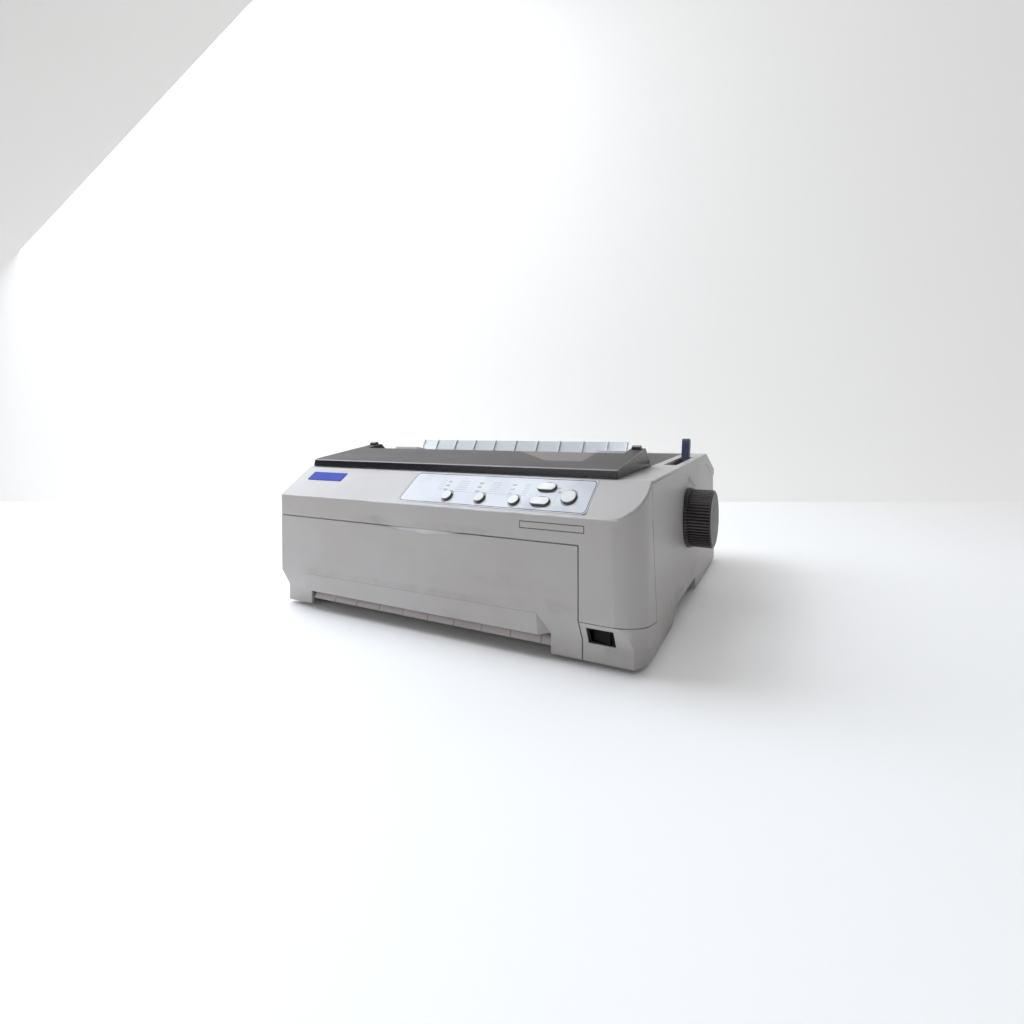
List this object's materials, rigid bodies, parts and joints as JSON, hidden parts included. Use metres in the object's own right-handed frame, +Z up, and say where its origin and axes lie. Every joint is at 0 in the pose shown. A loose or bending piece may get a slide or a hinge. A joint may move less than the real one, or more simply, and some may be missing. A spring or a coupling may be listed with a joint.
{
  "type": "dot matrix printer",
  "caption": "Dot matrix printer with a smoky hinged cover, hinged front cover, platen with feed knob, sliding print carriage, paper tractors and a sloped control panel.",
  "frame": {"origin": "centre of the bounding box on the surface that the rubber feet stand on", "axes": "+X to the side with the feed knob, +Y to the rear, +Z up"},
  "size_m": [0.4424, 0.35, 0.1811],
  "materials": {
    "case_plastic": "fine textured moulded plastic, slightly aged",
    "smoke_plastic": "smoky translucent plastic",
    "guide_plastic": "pale bluish grey plastic",
    "paper_slot_plastic": "pinkish beige plastic",
    "bezel_plastic": "silver grey plastic sheet",
    "badge_blue": "blank blue plate",
    "button_plastic": "off white plastic",
    "lamp_lens": "clear amber lens",
    "knob_plastic": "near black fluted plastic",
    "lever_plastic": "slate blue plastic",
    "black_plastic": "black moulded plastic",
    "rubber_black": "ground rubber",
    "steel_plate": "zinc plated sheet",
    "steel_shaft": "ground shaft",
    "motor_metal": "black lacquer",
    "gear_plastic": "natural acetal",
    "circuit_board": "solder resist",
    "power_board_resin": "paper laminate",
    "head_metal": "dark cast fins",
    "ratchet_green": "green plastic"
  },
  "bodies": {
    "casing": {"lower_case": "case_plastic", "upper_case": "case_plastic", "control_bezel": "bezel_plastic", "badge_plate": "badge_blue", "rubber_feet": "rubber_black", "front_paper_guide": "paper_slot_plastic", "chassis_plate": "steel_plate", "left_side_frame": "steel_plate", "right_side_frame": "steel_plate", "carriage_shaft": "steel_shaft", "guide_rail": "steel_plate", "carriage_motor": "motor_metal", "drive_belt": "rubber_black", "feed_motor": "motor_metal", "main_board": "circuit_board", "data_sockets": "black_plastic", "power_board": "power_board_resin", "mains_inlet": "black_plastic", "switch_housing": "black_plastic", "case_screws": "steel_shaft", "panel_board": "circuit_board", "indicator_lamps": "lamp_lens", "tractor_rail": "steel_shaft", "ribbon_cartridge": "black_plastic", "rear_paper_guide": "black_plastic"},
    "front_cover": {"front_cover": "case_plastic"},
    "printer_cover": {"printer_cover": "smoke_plastic"},
    "sheet_guide": {"sheet_guide": "guide_plastic"},
    "left_edge_guide": {"left_edge_guide": "guide_plastic"},
    "right_edge_guide": {"right_edge_guide": "guide_plastic"},
    "release_lever": {"release_lever": "lever_plastic"},
    "knob": {"feed_knob": "knob_plastic", "knob_shaft": "steel_shaft", "knob_gear": "gear_plastic"},
    "platen": {"platen": "rubber_black", "platen_shaft": "steel_shaft", "platen_gear": "gear_plastic"},
    "idler_gear": {"idler_gear": "gear_plastic"},
    "feed_pinion": {"feed_pinion": "gear_plastic"},
    "tractor_drive": {"tractor_shaft": "steel_shaft", "tractor_gear": "gear_plastic"},
    "left_tractor": {"left_tractor": "black_plastic"},
    "right_tractor": {"right_tractor": "black_plastic"},
    "left_sprocket": {"left_sprocket": "button_plastic"},
    "right_sprocket": {"right_sprocket": "button_plastic"},
    "left_flap": {"left_flap": "black_plastic"},
    "right_flap": {"right_flap": "black_plastic"},
    "carriage": {"carriage": "black_plastic", "print_head": "head_metal"},
    "motor_pulley": {"motor_pulley": "gear_plastic"},
    "idler_pulley": {"idler_pulley": "gear_plastic"},
    "ribbon_knob": {"ribbon_knob": "button_plastic"},
    "gap_lever": {"gap_lever": "ratchet_green"},
    "power_rocker": {"power_rocker": "black_plastic"},
    "font_button": {"font_button": "button_plastic"},
    "pitch_button": {"pitch_button": "button_plastic"},
    "tear_off_button": {"tear_off_button": "button_plastic"},
    "line_feed_button": {"line_feed_button": "button_plastic"},
    "load_button": {"load_button": "button_plastic"},
    "pause_button": {"pause_button": "button_plastic"}
  },
  "joints": [
    {"name": "front_cover_hinge", "type": "hinge", "parent": "casing", "child": "front_cover", "pos_m": [-0.0412, -0.161, 0.0085], "axis": [1, 0, 0], "range_deg": [0, 75]},
    {"name": "printer_cover_hinge", "type": "hinge", "parent": "casing", "child": "printer_cover", "pos_m": [-0.0265, -0.051, 0.146], "axis": [-1, 0, 0], "range_deg": [0, 75]},
    {"name": "sheet_guide_hinge", "type": "hinge", "parent": "casing", "child": "sheet_guide", "pos_m": [-0.0265, -0.037, 0.125], "axis": [-1, 0, 0], "range_deg": [0, 55]},
    {"name": "left_edge_guide_slide", "type": "slide", "parent": "sheet_guide", "child": "left_edge_guide", "axis": [1, 0, 0], "range_m": [-0.002, 0.1]},
    {"name": "right_edge_guide_slide", "type": "slide", "parent": "sheet_guide", "child": "right_edge_guide", "axis": [1, 0, 0], "range_m": [-0.1, 0.002]},
    {"name": "release_lever_hinge", "type": "hinge", "parent": "casing", "child": "release_lever", "pos_m": [0.1788, 0.03, 0.07], "axis": [1, 0, 0], "range_deg": [0, 44]},
    {"name": "platen_turn", "type": "hinge", "parent": "casing", "child": "platen", "pos_m": [-0.0265, -0.053, 0.1], "axis": [1, 0, 0], "continuous": true},
    {"name": "knob_turn", "type": "hinge", "parent": "casing", "child": "knob", "pos_m": [0.2068, 0.00066, 0.09398], "axis": [1, 0, 0], "continuous": true},
    {"name": "idler_gear_turn", "type": "hinge", "parent": "casing", "child": "idler_gear", "pos_m": [0.1608, 0.03766, 0.09398], "axis": [1, 0, 0], "continuous": true},
    {"name": "feed_pinion_turn", "type": "hinge", "parent": "casing", "child": "feed_pinion", "pos_m": [0.1608, -0.06497, 0.06711], "axis": [1, 0, 0], "continuous": true},
    {"name": "tractor_drive_turn", "type": "hinge", "parent": "casing", "child": "tractor_drive", "pos_m": [-0.0265, 0.06416, 0.09398], "axis": [1, 0, 0], "continuous": true},
    {"name": "left_tractor_slide", "type": "slide", "parent": "casing", "child": "left_tractor", "axis": [1, 0, 0], "range_m": [-0.03, 0.09]},
    {"name": "right_tractor_slide", "type": "slide", "parent": "casing", "child": "right_tractor", "axis": [1, 0, 0], "range_m": [-0.09, 0.03]},
    {"name": "left_sprocket_turn", "type": "hinge", "parent": "left_tractor", "child": "left_sprocket", "pos_m": [-0.1465, 0.06416, 0.09398], "axis": [1, 0, 0], "continuous": true},
    {"name": "right_sprocket_turn", "type": "hinge", "parent": "right_tractor", "child": "right_sprocket", "pos_m": [0.0935, 0.06416, 0.09398], "axis": [1, 0, 0], "continuous": true},
    {"name": "left_flap_hinge", "type": "hinge", "parent": "left_tractor", "child": "left_flap", "pos_m": [-0.1555, 0.065, 0.11011], "axis": [0, -1, 0], "range_deg": [0, 110]},
    {"name": "right_flap_hinge", "type": "hinge", "parent": "right_tractor", "child": "right_flap", "pos_m": [0.1025, 0.065, 0.11011], "axis": [0, 1, 0], "range_deg": [0, 110]},
    {"name": "carriage_slide", "type": "slide", "parent": "casing", "child": "carriage", "axis": [1, 0, 0], "range_m": [-0.112, 0.112]},
    {"name": "motor_pulley_turn", "type": "hinge", "parent": "casing", "child": "motor_pulley", "pos_m": [-0.1842, -0.109, 0.06], "axis": [0, 0, 1], "continuous": true},
    {"name": "idler_pulley_turn", "type": "hinge", "parent": "casing", "child": "idler_pulley", "pos_m": [0.1308, -0.109, 0.06], "axis": [0, 0, 1], "continuous": true},
    {"name": "ribbon_knob_turn", "type": "hinge", "parent": "casing", "child": "ribbon_knob", "pos_m": [-0.1472, -0.122, 0.14], "axis": [0, 0, 1], "continuous": true},
    {"name": "gap_lever_hinge", "type": "hinge", "parent": "casing", "child": "gap_lever", "pos_m": [-0.1952, -0.101, 0.084], "axis": [1, 0, 0], "range_deg": [-10, 10]},
    {"name": "power_rocker_hinge", "type": "hinge", "parent": "casing", "child": "power_rocker", "pos_m": [0.1578, -0.163, 0.026], "axis": [0, 0, 1], "range_deg": [0, 14]},
    {"name": "font_button_press", "type": "slide", "parent": "casing", "child": "font_button", "axis": [0, 0.6536, -0.7568], "range_m": [0, 0.001], "stiffness_N_per_m": 250},
    {"name": "pitch_button_press", "type": "slide", "parent": "casing", "child": "pitch_button", "axis": [0, 0.6536, -0.7568], "range_m": [0, 0.001], "stiffness_N_per_m": 250},
    {"name": "tear_off_button_press", "type": "slide", "parent": "casing", "child": "tear_off_button", "axis": [0, 0.6536, -0.7568], "range_m": [0, 0.001], "stiffness_N_per_m": 250},
    {"name": "line_feed_button_press", "type": "slide", "parent": "casing", "child": "line_feed_button", "axis": [0, 0.6536, -0.7568], "range_m": [0, 0.001], "stiffness_N_per_m": 250},
    {"name": "load_button_press", "type": "slide", "parent": "casing", "child": "load_button", "axis": [0, 0.6536, -0.7568], "range_m": [0, 0.001], "stiffness_N_per_m": 250},
    {"name": "pause_button_press", "type": "slide", "parent": "casing", "child": "pause_button", "axis": [0, 0.6536, -0.7568], "range_m": [0, 0.001], "stiffness_N_per_m": 250}
  ],
  "couplings": [
    {"joint": "knob_turn", "follows": "platen_turn", "ratio": -1},
    {"joint": "idler_gear_turn", "follows": "platen_turn", "ratio": 2.7},
    {"joint": "tractor_drive_turn", "follows": "platen_turn", "ratio": -1.6364},
    {"joint": "left_sprocket_turn", "follows": "platen_turn", "ratio": -1.6364},
    {"joint": "right_sprocket_turn", "follows": "platen_turn", "ratio": -1.6364},
    {"joint": "feed_pinion_turn", "follows": "platen_turn", "ratio": -3.375},
    {"joint": "motor_pulley_turn", "follows": "carriage_slide", "rad_per_m": -129.87},
    {"joint": "idler_pulley_turn", "follows": "carriage_slide", "rad_per_m": -129.87}
  ]
}
